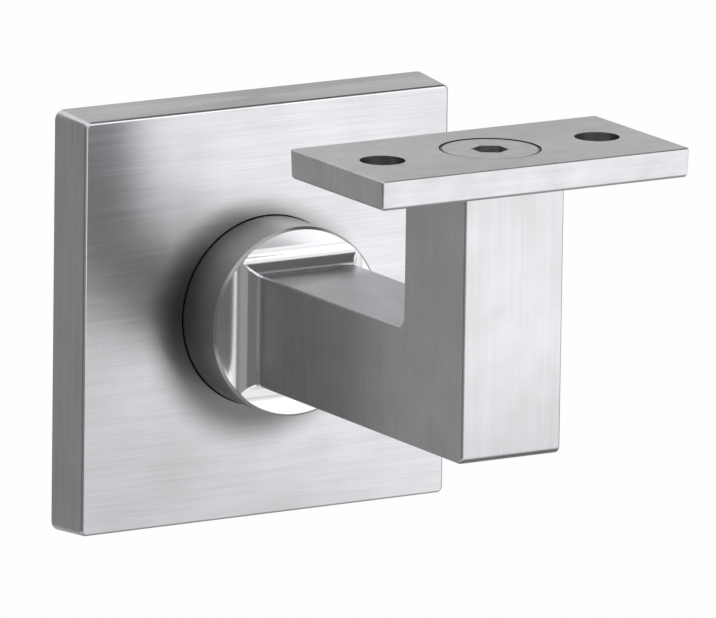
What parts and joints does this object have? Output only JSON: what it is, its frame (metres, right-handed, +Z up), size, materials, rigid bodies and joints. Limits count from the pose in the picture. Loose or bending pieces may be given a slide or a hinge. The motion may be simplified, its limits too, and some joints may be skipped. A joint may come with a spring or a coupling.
{
  "type": "handrail bracket",
  "caption": "Wall-mounted handrail bracket with a square cover rose, a round boss, a square arm bent up into a post and a flat saddle plate for the rail.",
  "frame": {"origin": "on the wall, behind the axis of the arm, at the centre of the four wall-screw holes", "axes": "+Y into the wall, +X to the right along the wall as seen by someone facing it, +Z up; the bracket reaches out along -Y"},
  "size_m": [0.08, 0.1048, 0.0855],
  "materials": {
    "rose_steel": "satin, brushed along the wall",
    "arm_steel": "satin, linished casting",
    "saddle_steel": "satin, brushed lengthwise",
    "screw_stainless": "turned stainless",
    "plate_steel": "zinc-plated plate",
    "screw_zinc": "zinc-plated",
    "pin_steel": "ground hardened steel",
    "ring_rubber": "matt black rubber"
  },
  "bodies": {
    "root": {"cover_rose": "rose_steel", "wall_plate": "plate_steel", "bracket_arm": "arm_steel", "arm_screw": "screw_zinc", "locating_pin_left": "pin_steel", "locating_pin_right": "pin_steel", "grip_ring": "ring_rubber", "saddle_plate": "saddle_steel", "saddle_screw": "screw_stainless"}
  },
  "joints": []
}
